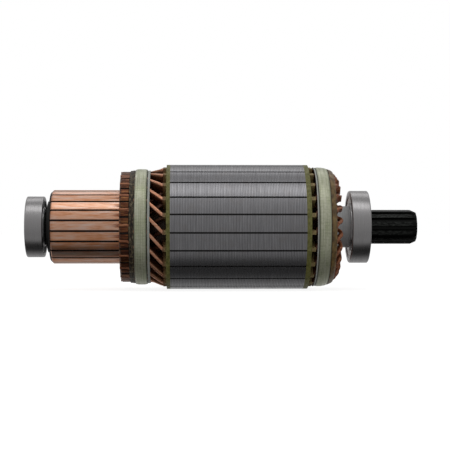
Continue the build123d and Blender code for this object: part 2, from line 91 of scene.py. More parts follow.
# Commutator
BAR_RADIUS = 31.5
BAR_CHAMFER = 1.2
BAR_BOTTOM = 22.0
RISER_RADIUS = 47.2
RISER_CHAMFER = 1.4
RISER_WIDTH = 7.8
MICA_HALF_THICKNESS = 0.5
ANCHOR_MOUTH = 27.6
ANCHOR_ROOT = 26.2
ANCHOR_DEPTH = 10.0
ANCHOR_SETBACK = 3.0
LEAD_SLOT_BOTTOM = 29.8
LEAD_SLOT_WIDTH = 3.0
COLLAR_STEP = 1.2
LIP_RADIUS = 21.9
LIP_LENGTH = 2.4
REAR_FLANGE = 1.6
BUSH_RADIUS = 20.5
BUSH_BORE = 18.0

# Bands, tapes, lashing and the sleeve between the leads
LEADS_TOP = 47.4
BENDS_TOP = 51.0
BENDS_FALL = 5.7
LEAD_FLOOR = 29.4
SLEEVE_PLAY = 0.2
SLEEVE_THICKNESS = 0.5

# Shaft
PLAIN_SEAT_RADIUS = 12.5
DRIVE_SEAT_RADIUS = 15.0
NECK_RADIUS = 15.5
SHOULDER_RADIUS = 17.75
CREST_RADIUS = 14.65
CENTRE_MOUTH = 4.0
CENTRE_HOLE = 2.0
CENTRE_DEPTH = 9.0

# Bearings: bore and outside radius, ball diameter, and from a bearing's middle to each of its covers
PLAIN_BEARING = (PLAIN_SEAT_RADIUS, 26.0, 7.94, 5.9)
DRIVE_BEARING = (DRIVE_SEAT_RADIUS, 31.0, 9.52, 6.4)
RACE_PLAY = 0.06
COVER_SEAT_STEP = 0.8
RING_CORNER = 1.0


def span(node):
    """The lowest and the highest x of a CAD node, in millimetres."""
    low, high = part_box(node)
    return low.x / MM, high.x / MM


core_left, core_right = span("lamination_core")
left_disc_face = span("commutator_end_insulator")[0]
right_disc_face = span("drive_end_insulator")[1]
cuff_left, cuff_right = span("slot_liners")
bar_front, riser_back = span("commutator_bar_01")
riser_front = riser_back - RISER_WIDTH
collar_front = span("commutator_moulding")[0]
rear_flange = riser_back + REAR_FLANGE
winding_end = span("armature_coils")[1]
nose_middle = winding_end - NOSE_BEND - STRIP_THICKNESS / 2
shaft_left, shaft_right = span("shaft")
commutator_bearing = span("commutator_end_bearing_inner_ring")
drive_bearing = span("drive_end_bearing_inner_ring")


# Materials. Where inputs of a node share a name, they are given by number. Map Range takes its value, 0,
# from between 1 and 2 to between 3 and 4, which are 0 and 1 where they aren't given. Mix has its share at 0,
# its numbers at 2 and 3, and its colours at 6 and 7.

def colour(value):
    """An sRGB hex code, or the light of a grey, as linear red, green, blue and alpha."""
    if not isinstance(value, str):
        return (value, value, value, 1)
    codes = [int(value[i:i + 2], 16) / 255 for i in (1, 3, 5)]
    return (*[v / 12.92 if v <= 0.04045 else ((v + 0.055) / 1.055) ** 2.4 for v in codes], 1)


def add(tree, kind, inputs=(), stops=(), **settings):
    """Adds a node and gives its first output in use. Its settings are its properties, its inputs are values,
    hex codes or outputs of other nodes, and its stops are a ramp's places and colours."""
    made = tree.nodes.new("ShaderNode" + kind)
    for name, value in settings.items():
        setattr(made, name, value)
    for name, value in dict(inputs).items():
        if isinstance(value, bpy.types.NodeSocket):
            tree.links.new(value, made.inputs[name])
        else:
            made.inputs[name].default_value = colour(value) if isinstance(value, str) else value
    if stops:
        elements = made.color_ramp.elements
        while len(elements) < len(stops):
            elements.new(0.5)
        for element, (at, value) in zip(elements, stops):
            element.position = at
            element.color = colour(value)
    return next((output for output in made.outputs if output.enabled), None)


def start(name, **constants):
    """A new material, its node tree, and the place of a point on the object in millimetres. The constants go
    straight on its shader."""
    material = bpy.data.materials.new(name)
    material.use_nodes = True
    tree = material.node_tree
    for socket, value in constants.items():
        tree.nodes["Principled BSDF"].inputs[socket.replace("_", " ")].default_value = value
    metres = add(tree, "TexCoord").node.outputs["Object"]
    return material, tree, add(tree, "VectorMath", {0: metres, "Scale": 1 / MM}, operation="SCALE")


def paint(material, base, layers, height, depth, rough=None, **sockets):
    """Lays layers over a base colour, each with its share, makes a bump of so many millimetres, and links
    both and the other sockets to the shader. Rough is a grain and the roughness at its lows and highs."""
    tree = material.node_tree
    for share, over in layers:
        base = add(tree, "Mix", {0: share, 6: base, 7: over}, data_type="RGBA")
    if rough:
        grain, low, high = rough
        sockets["Roughness"] = add(tree, "MapRange", {0: grain, 1: 0.3, 2: 0.7, 3: low, 4: high})
    bump = add(tree, "Bump", {"Height": height, "Distance": depth * MM})
    shader = tree.nodes["Principled BSDF"]
    for name, output in {"Base Color": base, "Normal": bump, **sockets}.items():
        tree.links.new(output, shader.inputs[name])
    return material


def pattern(tree, place, across, along, detail=3, roughness=0.6):
    """Noise drawn out round the shaft: its grain is so many millimetres along X, and so many round it."""
    scale = (1 / across, 1 / along, 1 / along)
    stretched = add(tree, "Mapping", {"Vector": place, "Scale": scale}, vector_type="POINT")
    noise = {"Vector": stretched, "Scale": 1, "Detail": detail, "Roughness": roughness}
    return add(tree, "TexNoise", noise)


def about_shaft(tree, place):
    """The x of a point, its distance from the shaft's axis, and its angle about the shaft."""
    x, y, z = add(tree, "SeparateXYZ", {"Vector": place}).node.outputs
    flat = add(tree, "CombineXYZ", {"Y": y, "Z": z})
    radius = add(tree, "VectorMath", {0: flat}, operation="LENGTH")
    return x, radius, add(tree, "Math", {0: z, 1: y}, operation="ARCTAN2")


def threads_between(tree, value, pitch):
    """1 between two threads that lie that far apart, and 0 on the threads."""
    turn = add(tree, "Math", {0: value, 1: math.tau / pitch}, operation="MULTIPLY")
    wave = add(tree, "Math", {0: turn}, operation="SINE")
    return add(tree, "MapRange", {0: wave, 1: 0.2, 2: 0.9})


def per_bar(tree, radius, angle):
    """A random value for each bar, and how far a point lies from the middle of its bar and from the gap."""
    offset = (math.tau - SLOT_ANGLE - MICA_ANGLE) / PITCH
    pitches = add(tree, "Math", {0: angle, 1: 1 / PITCH, 2: offset}, operation="MULTIPLY_ADD")
    whole = add(tree, "Math", {0: pitches}, operation="FLOOR")
    number = add(tree, "Math", {0: whole, 1: SLOT_COUNT}, operation="MODULO")
    chance = add(tree, "TexWhiteNoise", {"W": number}, noise_dimensions="1D")
    share = add(tree, "Math", {0: pitches, 1: 0.5}, operation="PINGPONG")
    pitch_length = add(tree, "Math", {0: radius, 1: PITCH}, operation="MULTIPLY")
    from_gap = add(tree, "Math", {0: share, 1: pitch_length}, operation="MULTIPLY")
    half_pitch = add(tree, "Math", {0: pitch_length, 1: 0.5}, operation="MULTIPLY")
    return chance, add(tree, "Math", {0: half_pitch, 1: from_gap}, operation="SUBTRACT"), from_gap


def grained(name, grain, stops, rough, depth, relief=None, **constants):
    """A finish whose grain gives its colour, its roughness unless that is a constant, and its bump, unless
    that has a grain of its own."""
    material, tree, place = start(name, **constants)
    cloud = pattern(tree, place, *grain)
    base = add(tree, "ValToRGB", {0: cloud}, stops)
    height = pattern(tree, place, *relief) if relief else cloud
    return paint(material, base, (), height, depth, rough and (cloud, *rough))


def ground_steel(name, low, high, rough, grain):
    """Hardened bearing steel, ground round: bright grey with fine lines round the shaft."""
    ends = (rough + 0.06, rough - 0.06)
    return grained(name, (grain, 30.0, 3, 0.7), ((0, low), (1, high)), ends, 0.015, Metallic=1.0)


def blackened_steel():
    """Shaft steel, hobbed and blackened in a salt bath: near black with an oily sheen, greyer on worn
    crests, and bare at the shoulder of the drive end and at the plain end, which were ground after it."""
    material, tree, place = start("blackened_shaft_steel")
    x, radius, _ = about_shaft(tree, place)
    cloud = pattern(tree, place, 3.0, 1.2)
    patches = add(tree, "MapRange", {0: cloud, 1: 0.42, 2: 0.62})
    worn = add(tree, "MapRange", {0: radius, 1: CREST_RADIUS - 0.35, 2: CREST_RADIUS, 4: patches})
    lathe = pattern(tree, place, 0.6, 40.0, 3, 0.7)
    bare = add(tree, "ValToRGB", {0: lathe}, ((0.3, "#CCD0D2"), (0.5, "#DCDFE0"), (0.75, "#E8EAEA")))
    before_bearing = add(tree, "MapRange", {0: x, 1: drive_bearing[1], 2: drive_bearing[1] - 0.5})
    shoulder = add(tree, "MapRange", {0: x, 1: nose_middle - 1, 2: nose_middle, 4: before_bearing})
    plain_end = add(tree, "MapRange", {0: x, 1: commutator_bearing[1] + 0.5, 2: commutator_bearing[1]})
    ground = add(tree, "Math", {0: shoulder, 1: plain_end}, operation="MAXIMUM")
    metallic = add(tree, "MapRange", {0: shoulder, 3: 0.85, 4: 0.2})
    oily = add(tree, "MapRange", {0: cloud, 1: 0.3, 2: 0.7, 3: 0.3, 4: 0.46})
    rough = add(tree, "Math", {0: shoulder, 1: 0.2, 2: oily}, operation="MULTIPLY_ADD")
    layers = ((cloud, "#202120"), (worn, "#3A3C3A"), (ground, bare))
    return paint(material, "#0E0F0E", layers, lathe, 0.02, Metallic=metallic, Roughness=rough)


def stacked_steel():
    """Punched electrical steel sheets, stacked and varnished: fine lines across the shaft, some sheets
    lighter. A real sheet is 0.5 mm, too fine to show, so the lines are drawn further apart."""
    material, tree, place = start("varnished_electrical_steel", Metallic=0.9)
    waves = {"Vector": place, "Scale": 1 / (WAVES_PER_SCALE * SHEET_PITCH), "Distortion": 0.6, "Detail": 1.0}
    wave = add(tree, "TexWave", waves, wave_type="BANDS", bands_direction="X")
    uneven = pattern(tree, place, 1.1, 25.0, 3, 0.7)
    sheets = add(tree, "Mix", {0: 0.65, 2: wave.node.outputs["Fac"], 3: uneven}, data_type="FLOAT")
    rusted = add(tree, "MapRange", {0: pattern(tree, place, 9.0, 6.0), 1: 0.5, 2: 0.8, 4: 0.25})
    steel = add(tree, "ValToRGB", {0: sheets}, ((0.25, "#7B7A7D"), (0.5, "#98979A"), (0.75, "#B1B0B3")))
    return paint(material, steel, ((rusted, "#8A7F76"),), sheets, 0.05, (sheets, 0.36, 0.26))


def liner_paper():
    """Aramid slot paper soaked in varnish: olive brown, with fibres and darker varnish in its folds. Beyond
    the disc of the lead side it is stained copper brown."""
    material, tree, place = start("varnished_aramid_paper", IOR=1.45, Roughness=0.6)
    x, _, _ = about_shaft(tree, place)
    fibres = pattern(tree, place, 1.2, 1.2, 6, 0.7)
    clean = add(tree, "ValToRGB", {0: fibres}, ((0.3, "#6E5C38"), (0.5, "#A08C5C"), (0.72, "#C2B486")))
    stained = add(tree, "ValToRGB", {0: fibres}, ((0.3, "#4A2E1E"), (0.5, "#8E6046"), (0.72, "#BC8E6E")))
    lead_side = add(tree, "MapRange", {0: x, 1: left_disc_face - 0.8, 2: cuff_left + 0.8, 4: 0.85})
    return paint(material, clean, ((lead_side, stained),), fibres, 0.05)


def wedge_laminate():
    """Dark phenolic laminate under varnish, drawn darker still as painted shade: the slot wedges stand for
    the shaded openings of the slots and read as their dark lines, and what fills the space under the strips,
    beyond the core, is browner."""
    material, tree, place = start("dark_phenolic_laminate", IOR=1.5, Roughness=0.45)
    x, _, _ = about_shaft(tree, place)
    cloud = pattern(tree, place, 6.0, 1.0)
    filler = add(tree, "Mix", {0: cloud, 6: "#2E1C13", 7: "#6A4630"}, data_type="RGBA")
    core_middle = (core_left + core_right) / 2
    along = add(tree, "Math", {0: x, 1: core_middle}, operation="SUBTRACT")
    from_middle = add(tree, "Math", {0: along}, operation="ABSOLUTE")
    half_core = core_right - core_middle
    beyond = add(tree, "MapRange", {0: from_middle, 1: half_core, 2: half_core + 1})
    # The near black base is dark laminate darkened further into painted shade of the slot openings.
    return paint(material, "#0A0807", ((cloud, "#1C1612"), (beyond, filler)), cloud, 0.03)


def winding_copper():
    """Flat drawn copper: bare on the outer edge of the upper strips, and under dark baked varnish on its
    sides and noses. The dark of the sides and of the lower strips is also painted shade between and under
    the strips.
    """
    material, tree, place = start("varnished_winding_copper")
    x, radius, _ = about_shaft(tree, place)
    outward = add(tree, "Attribute", attribute_name="outward").node.outputs["Fac"]
    streak = pattern(tree, place, 7.0, 1.4)
    bare = add(tree, "ValToRGB", {0: streak}, ((0.3, "#C98463"), (0.52, "#E2A483"), (0.75, "#F2C0A2")))
    varnish_and_painted_shade = add(tree, "ValToRGB", {0: streak}, ((0.3, "#341A10"), (0.55, "#633A26"), (0.75, "#8F593E")))
    tip = add(tree, "ValToRGB", {0: streak}, ((0.3, "#5C321E"), (0.5, "#A46545"), (0.75, "#CC8E64")))
    # Painted shade: only the outer edge of the upper strips shows bright copper, and the sides and lower
    # strips keep the dark colour.
    upper = add(tree, "MapRange", {0: radius, 1: UPPER_EDGE_RADIUS - 1, 2: UPPER_EDGE_RADIUS})
    edge = add(tree, "MapRange", {0: outward, 1: 0.45, 2: 0.85, 4: upper})
    near_nose = add(tree, "MapRange", {0: x, 1: nose_middle - 8, 2: nose_middle - 3})
    in_riser = add(tree, "MapRange", {0: x, 1: riser_back + 3, 2: riser_back})
    covered = add(tree, "Math", {0: near_nose, 1: in_riser}, operation="MAXIMUM")
    before_riser = add(tree, "Math", {0: 1.0, 1: in_riser}, operation="SUBTRACT")
    lead_side = add(tree, "MapRange", {0: x, 1: core_right, 2: core_left, 4: before_riser})
    shown = add(tree, "Math", {0: edge, 1: lead_side}, operation="MULTIPLY")
    metallic = add(tree, "MapRange", {0: shown, 3: 0.35, 4: 0.85})
    layers = ((covered, tip), (shown, bare))
    return paint(material, varnish_and_painted_shade, layers, streak, 0.05, (streak, 0.42, 0.3), Metallic=metallic)


def bar_copper():
    """Hard drawn copper bars: turned bright on the brush track, each a little different. On the risers they
    are dark red brown from the soldering heat, with orange streaks, and greyer on the turned rim. They are
    dark at the joints of the leads and along the front edge, and darkened beside the gaps as painted shade
    of the undercut grooves."""
    material, tree, place = start("turned_commutator_copper")
    x, radius, angle = about_shaft(tree, place)
    bar, from_middle, from_gap = per_bar(tree, radius, angle)
    streak = pattern(tree, place, 14.0, 1.1)
    track = add(tree, "ValToRGB", {0: streak}, ((0.3, "#D98A62"), (0.5, "#FFC4A0"), (0.7, "#FFE0CE")))
    tints = ((0.0, "#E08F5C"), (0.35, "#F8B48C"), (0.7, "#FFCCB0"), (1.0, "#FFE6DA"))
    heated = pattern(tree, place, 16.0, 2.6)
    layers = [
        (0.55, add(tree, "ValToRGB", {0: bar}, tints)),
        (add(tree, "MapRange", {0: heated, 1: 0.52, 2: 0.68, 4: 0.6}), "#DE8A52"),
        (add(tree, "MapRange", {0: heated, 1: 0.48, 2: 0.34, 4: 0.5}), "#FFEAE2"),
        (add(tree, "MapRange", {0: x, 1: bar_front + 3.5, 2: bar_front, 4: 0.35}), "#B4693C"),
    ]
    stains = ((0.3, "#2C130B"), (0.45, "#57301F"), (0.6, "#824A2C"), (0.75, "#B06C3C"))
    riser = add(tree, "ValToRGB", {0: pattern(tree, place, 9.0, 4.0)}, stains)
    tints = ((0.0, "#3A1C12"), (0.45, "#6B3A26"), (1.0, "#96583A"))
    soot = pattern(tree, place, 12.0, 0.9)
    for share, over in (
        (0.55, add(tree, "ValToRGB", {0: bar}, tints)),
        (add(tree, "MapRange", {0: soot, 1: 0.5, 2: 0.62, 4: 0.7}), "#2A130C"),
        (add(tree, "MapRange", {0: soot, 1: 0.47, 2: 0.37, 4: 0.6}), "#B88450"),
        (add(tree, "MapRange", {0: x, 1: riser_front + 1.8, 2: riser_front + 0.6, 4: 0.35}), "#8A7468"),
    ):
        riser = add(tree, "Mix", {0: share, 6: riser, 7: over}, data_type="RGBA")
    in_riser = add(tree, "MapRange", {0: x, 1: riser_front - 0.3, 2: riser_front + 0.2})
    # Painted shade: each bar is darkened near its gaps so that the undercut grooves read as dark lines.
    painted_groove_shade = add(tree, "MapRange", {0: from_gap, 1: 1.0, 2: 0.7})
    front_edge = add(tree, "MapRange", {0: x, 1: bar_front + 0.7, 2: bar_front + 0.3, 4: 0.85})
    from_wall = add(tree, "Math", {0: from_middle, 1: LEAD_SLOT_WIDTH / 2}, operation="SUBTRACT")
    from_wall = add(tree, "Math", {0: from_wall}, operation="ABSOLUTE")
    at_wall = add(tree, "MapRange", {0: from_wall, 1: 0.5, 2: 0.3, 4: 0.8})
    solder = add(tree, "Math", {0: at_wall, 1: in_riser}, operation="MULTIPLY")
    edges = add(tree, "Math", {0: painted_groove_shade, 1: solder}, operation="MAXIMUM")
    joints_and_groove_shade = add(tree, "Math", {0: edges, 1: front_edge}, operation="MAXIMUM")
    layers += [(in_riser, riser), (joints_and_groove_shade, "#1E0F09")]
    metallic = add(tree, "MapRange", {0: in_riser, 3: 1.0, 4: 0.7})
    lathe = pattern(tree, place, 0.4, 40.0, 2, 0.6)
    return paint(material, track, layers, lathe, 0.02, (streak, 0.4, 0.3), Metallic=metallic)


def band_glass(name, left, right, edge_left, edge_right):
    """Woven glass tape wound wet with polyester resin and baked: pale grey green, with the grid of its
    threads every 1.6 mm along the shaft and 2.6 mm round it, coarser than real ones so that they show, and
    darker towards its edges."""
    material, tree, place = start(name, Metallic=0.5, Coat_Weight=0.35, Coat_Roughness=0.25)
    x, _, angle = about_shaft(tree, place)
    threads = pattern(tree, place, 0.8, 45.0, 4, 0.7)
    weave = pattern(tree, place, 2.2, 1.1, 2, 0.5)
    cloud = pattern(tree, place, 6.0, 14.0)
    woven = add(tree, "Mix", {0: 0.3, 2: threads, 3: weave}, data_type="FLOAT")
    glass = add(tree, "ValToRGB", {0: woven}, ((0.32, "#A8AC8C"), (0.5, "#D3D5B9"), (0.68, "#ECECD8")))
    arc = add(tree, "Math", {0: angle, 1: LEADS_TOP + 2}, operation="MULTIPLY")
    grids = {0: threads_between(tree, x, 1.6), 1: threads_between(tree, arc, 2.6)}
    grid = add(tree, "Math", grids, operation="MAXIMUM")
    clearer = add(tree, "MapRange", {0: cloud, 1: 0.4, 2: 0.65, 3: 0.08, 4: 0.3})
    width = right - left
    edge_start = right - 0.12 * width
    layers = (
        (add(tree, "MapRange", {0: cloud, 1: 0.48, 2: 0.7, 4: 0.45}), "#BEC898"),
        (add(tree, "Math", {0: grid, 1: clearer}, operation="MULTIPLY"), "#7C8468"),
        (add(tree, "MapRange", {0: x, 1: left + 0.12 * width, 2: left, 4: 0.8}), edge_left),
        (add(tree, "MapRange", {0: x, 1: edge_start, 2: right - 0.04 * width, 4: 0.9}), edge_right),
    )
    return paint(material, glass, layers, threads, 0.1, (threads, 0.5, 0.36))


# Epoxy glass sheet of the end discs, machined: olive green and cloudy
stops = ((0.3, "#5E5C2A"), (0.5, "#7A783C"), (0.75, "#97935A"))
olive_fibre = grained("olive_epoxy_glass", (2.5, 3.0), stops, (0.55, 0.4), 0.05, (0.5, 6.0), IOR=1.5)

# Mica segments, cut back with a saw: dull brown and flaky, drawn near black as painted shade of the undercut
# grooves between the bars
stops = ((0, "#120A07"), (1, "#2E2019"))
mica_plate = grained("undercut_mica", (2.0, 2.0, 5), stops, None, 0.05, IOR=1.56, Roughness=0.7)

# Glass-filled phenolic, moulded and turned: black, half matt, with faint flow marks
stops = ((0, "#080807"), (1, "#161412"))
black_moulding = grained("black_phenolic_moulding", (1.5, 5.0), stops, (0.5, 0.65), 0.03, IOR=1.5)

# Glass cord soaked in resin: mottled grey and brown, with near black patches
stops = ((0.36, "#0E0A07"), (0.48, "#3A2E20"), (0.58, "#6C5F46"), (0.72, "#A9A087"))
lashing_cord = grained("resin_soaked_cord", (1.9, 3.2, 4, 0.7), stops, None, 0.15, IOR=1.5, Roughness=0.5)

# Woven glass tape along the edge of a band: nearly white, with its threads round the shaft
stops = ((0.3, "#9EA198"), (0.5, "#C3C6BF"), (0.75, "#DADCD8"))
edge_tape = grained("white_glass_tape", (0.5, 12.0, 3, 0.7), stops, None, 0.08, IOR=1.5, Roughness=0.55)

# Cotton tape under thick baked varnish: olive brown, with a dull shine on its lumps
stops = ((0.3, "#4A3820"), (0.5, "#7C6238"), (0.75, "#A08450"))
coat = {"Coat_Weight": 0.2, "Coat_Roughness": 0.3}
brown_varnish = grained("baked_brown_varnish", (3.0, 5.0, 4), stops, (0.5, 0.32), 0.2, IOR=1.5, **coat)

# Nitrile rubber of the seals, moulded on a steel disc: black, with a faint satin sheen
stops = ((0, "#0E0F0F"), (1, "#1C1D1D"))
seal_rubber = grained("black_nitrile_rubber", (1.0, 2.0), stops, (0.42, 0.55), 0.02, IOR=1.5)


# Shapes

def weld(bm):
    """Merges doubles, drops what has no area, and turns all the faces outwards."""
    bmesh.ops.remove_doubles(bm, verts=bm.verts, dist=WELD)
    bmesh.ops.dissolve_degenerate(bm, edges=bm.edges, dist=WELD)
    bmesh.ops.recalc_face_normals(bm, faces=bm.faces)


def bevel(bm, geom, size, affect="EDGES", segments=2, **more):
    """Rounds edges or corners."""
    shape = {"segments": segments, "profile": 0.5, "affect": affect, "material": -1}
    bmesh.ops.bevel(bm, geom=geom, offset=size, **shape, **more)


def break_edges(bm, size):
    """Bevels each edge where two faces meet at more than 25 degrees."""
    sharp = [e for e in bm.edges if e.is_manifold and e.calc_face_angle(0) > math.radians(25)]
    bevel(bm, sharp, size, clamp_overlap=True)


def spin(bm, geom, angle, steps, **more):
    """Turns a line or a face about the shaft."""
    bmesh.ops.spin(bm, geom=geom, cent=(0, 0, 0), axis=(1, 0, 0), angle=angle, steps=steps, **more)


def rotate(bm, verts, angle, axis="X"):
    """Turns vertices about an axis through the origin."""
    bmesh.ops.rotate(bm, verts=verts, cent=(0, 0, 0), matrix=Matrix.Rotation(angle, 3, axis))


def only(items, kind):
    """Those of an operator's results that are vertices, edges or faces."""
    return [item for item in items if isinstance(item, kind)]


def as_mesh(bm, name):
    """A mesh of the shape, which is freed."""
    mesh = bpy.data.meshes.new(name)
    bm.to_mesh(mesh)
    bm.free()
    return mesh


def in_scene(name, data):
    """A new object, linked to the scene."""
    made = bpy.data.objects.new(name, data)
    bpy.context.scene.collection.objects.link(made)
    return made


def turned(profile, closed=True, edge=0.0):
    """A shape turned about the shaft from (x, radius) points. An open profile ends on the axis."""
    bm = bmesh.new()
    corners = [bm.verts.new((x, 0, radius)) for x, radius in profile]
    ends = corners[1:] + corners[:1] if closed else corners[1:]
    edges = [bm.edges.new(pair) for pair in zip(corners, ends)]
    spin(bm, corners + edges, math.tau, ROUND_STEPS, use_merge=True)
    weld(bm)
    if edge:
        break_edges(bm, edge)
    return bm


def tube(left, right, inner, outer):
    """The profile of a plain tube."""
    return [(left, inner), (left, outer), (right, outer), (right, inner)]


def polar(radius, angle, aside=0.0):
    """The (y, z) of a point at that radius along a direction, and that far to its left."""
    return (
        radius * math.cos(angle) - aside * math.sin(angle),
        radius * math.sin(angle) + aside * math.cos(angle),
    )


def circle(radius):
    """A round outline, as (y, z) points."""
    return [polar(radius, math.tau * number / ROUND_STEPS) for number in range(ROUND_STEPS)]


def plate(loops, left, right):
    """A plate across the shaft, from its outline and the outlines of its holes."""
    bm = bmesh.new()
    edges = []
    for loop in loops:
        corners = [bm.verts.new((left, *point)) for point in loop]
        edges += [bm.edges.new(pair) for pair in zip(corners, corners[1:] + corners[:1])]
    bmesh.ops.triangle_fill(bm, use_beauty=True, edges=edges)
    grown = bmesh.ops.extrude_face_region(bm, geom=bm.faces[:])["geom"]
    bmesh.ops.translate(bm, verts=only(grown, bmesh.types.BMVert), vec=(right - left, 0, 0))
    weld(bm)
    return bm


def show(bm, name, finish, nodes, body="rotor", sharp=35):
    """Makes a piece in metres from a shape in millimetres. It stands for CAD nodes and rides on the body."""
    bmesh.ops.scale(bm, verts=bm.verts, vec=(MM, MM, MM))
    mesh = as_mesh(bm, name)
    mesh.shade_smooth()
    mesh.set_sharp_from_angle(angle=math.radians(sharp))
    mesh.materials.append(finish)
    made = in_scene(name, mesh)
    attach(made, body)
    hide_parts(*nodes)


def refinish(node, finish):
    """Gives a CAD node that stays in view its material."""
    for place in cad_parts[node].material_slots:
        place.material = finish


slot_angles = [SLOT_ANGLE + number * PITCH for number in range(SLOT_COUNT)]


def slot_points(angle):
    """The outline of a slot and of the tooth after it."""
    half = math.asin(OPENING_HALF_WIDTH / CORE_RADIUS)
    rim = CORE_RADIUS * math.cos(half)
    shape = (
        (rim, -OPENING_HALF_WIDTH),
        (SLOT_TOP, -OPENING_HALF_WIDTH),
        (SLOT_TOP, -SLOT_HALF_WIDTH),
        (SLOT_BOTTOM, -SLOT_HALF_WIDTH),
        (SLOT_BOTTOM, SLOT_HALF_WIDTH),
        (SLOT_TOP, SLOT_HALF_WIDTH),
        (SLOT_TOP, OPENING_HALF_WIDTH),
        (rim, OPENING_HALF_WIDTH),
    )
    arc = PITCH - 2 * half
    tooth = [polar(CORE_RADIUS, angle + half + arc * step / TOOTH_STEPS) for step in range(1, TOOTH_STEPS)]
    return [polar(radius, angle, aside) for radius, aside in shape] + tooth


def window(angle):
    """The outline of an end disc's window over a slot."""
    corners = ((SLOT_BOTTOM, -1), (SLOT_TOP, -1), (SLOT_TOP, 1), (SLOT_BOTTOM, 1))
    return [polar(radius, angle, side * SLOT_HALF_WIDTH) for radius, side in corners]


def make_core(laminate):
    """The stack of sheets between its two end discs, and what closes its slots."""
    outline = [point for angle in slot_angles for point in slot_points(angle)]
    stack = plate([outline, circle(SEAT_RADIUS)], core_left, core_right)
    show(stack, "slotted_stack", stacked_steel(), ["lamination_core"])
    disc_loops = [circle(CORE_RADIUS), circle(SEAT_RADIUS), *[window(angle) for angle in slot_angles]]
    for end, left, right in (
        ("commutator_end", left_disc_face, core_left),
        ("drive_end", core_right, right_disc_face),
    ):
        disc = plate(disc_loops, left, right)
        show(disc, f"{end}_disc", olive_fibre, [f"{end}_insulator"])
    paper = liner_paper()
    refinish("slot_liners", paper)
    refinish("layer_separators", paper)
    refinish("slot_wedges", laminate)
    return paper


# Winding

def follow(share, shape, column):
    """The turn or the drop of a shape at a share of its length, along its straight runs."""
    for before, after in zip(shape, shape[1:]):
        if share <= after[0]:
            part = max(0.0, (share - before[0]) / (after[0] - before[0]))
            return before[column] + (after[column] - before[column]) * part
    return 1.0


def eased(share, shape, column, samples=5):
    """The same with the knees of the shape rounded."""
    reach = range(-samples, samples + 1)
    places = [share + KNEE_EASE * step / samples for step in reach]
    return sum(follow(place, shape, column) for place in places) / len(places)


def leg(foot, head, shape, steps=24):
    """Points (x, angle, radius) of a strip from its straight foot to its straight head."""
    points = []
    for step in range(steps + 1):
        share = -KNEE_EASE + (1 + 2 * KNEE_EASE) * step / steps
        shares = (share, eased(share, shape, 1), eased(share, shape, 2))
        points.append(tuple(a + (b - a) * part for a, b, part in zip(foot, head, shares)))
    return points


def coil_path():
    """The line of one coil, from its upper lead round its nose to its lower lead."""
    upper_turn = MICA_ANGLE + PITCH / 2 - 3 * PITCH
    lower_turn = MICA_ANGLE + PITCH / 2 + PITCH
    nose_turn = -SLOTS_SPANNED / 2 * PITCH - NOSE_SHIFT
    lower_slot = -SLOTS_SPANNED * PITCH
    half_nose = NOSE_BEND / UPPER_NOSE_RADIUS
    upper_foot = (cuff_left, 0, UPPER_SLOT_RADIUS)
    upper_lead = (riser_back, upper_turn, UPPER_LEAD_RADIUS)
    upper_end = (cuff_right, 0, UPPER_SLOT_RADIUS)
    nose_first = (nose_middle, nose_turn + half_nose, UPPER_NOSE_RADIUS)
    nose_last = (nose_middle, nose_turn - half_nose, LOWER_NOSE_RADIUS)
    lower_end = (cuff_right, lower_slot, LOWER_SLOT_RADIUS)
    lower_foot = (cuff_left, lower_slot, LOWER_SLOT_RADIUS)
    lower_lead = (riser_back, lower_slot + lower_turn, LOWER_LEAD_RADIUS)
    points = [(riser_front, *upper_lead[1:])]
    points += reversed(leg(upper_foot, upper_lead, LEAD_SHAPE))
    points += leg(upper_end, nose_first, BEND_SHAPE)[:-1]
    for step in range(1, NOSE_STEPS):
        share = step / NOSE_STEPS
        turn = math.pi * share
        points.append((
            nose_middle + NOSE_BEND * math.sin(turn),
            nose_turn + half_nose * math.cos(turn),
            UPPER_NOSE_RADIUS + (LOWER_NOSE_RADIUS - UPPER_NOSE_RADIUS) * share,
        ))
    points += reversed(leg(lower_end, nose_last, BEND_SHAPE)[:-1])
    points += leg(lower_foot, lower_lead, LEAD_SHAPE)
    points.append((riser_front, *lower_lead[1:]))
    return points


def strip_frames(points):
    """A frame for each point of a strip: its x points out from the shaft and its z along the strip."""
    frames = []
    for before, here, after in zip([points[0], *points], points, [*points[1:], points[-1]]):
        x, angle, radius = here
        outward = Vector((0, math.cos(angle), math.sin(angle)))
        sideways = Vector((0, -math.sin(angle), math.cos(angle)))
        run = Vector((after[0] - before[0], 0, 0)) + sideways * ((after[1] - before[1]) * radius)
        run.normalize()
        aside = run.cross(outward)
        place = Matrix.Translation(Vector((x, 0, 0)) + outward * radius)
        frames.append(place @ Matrix((outward, aside, run)).transposed().to_4x4())
    return frames


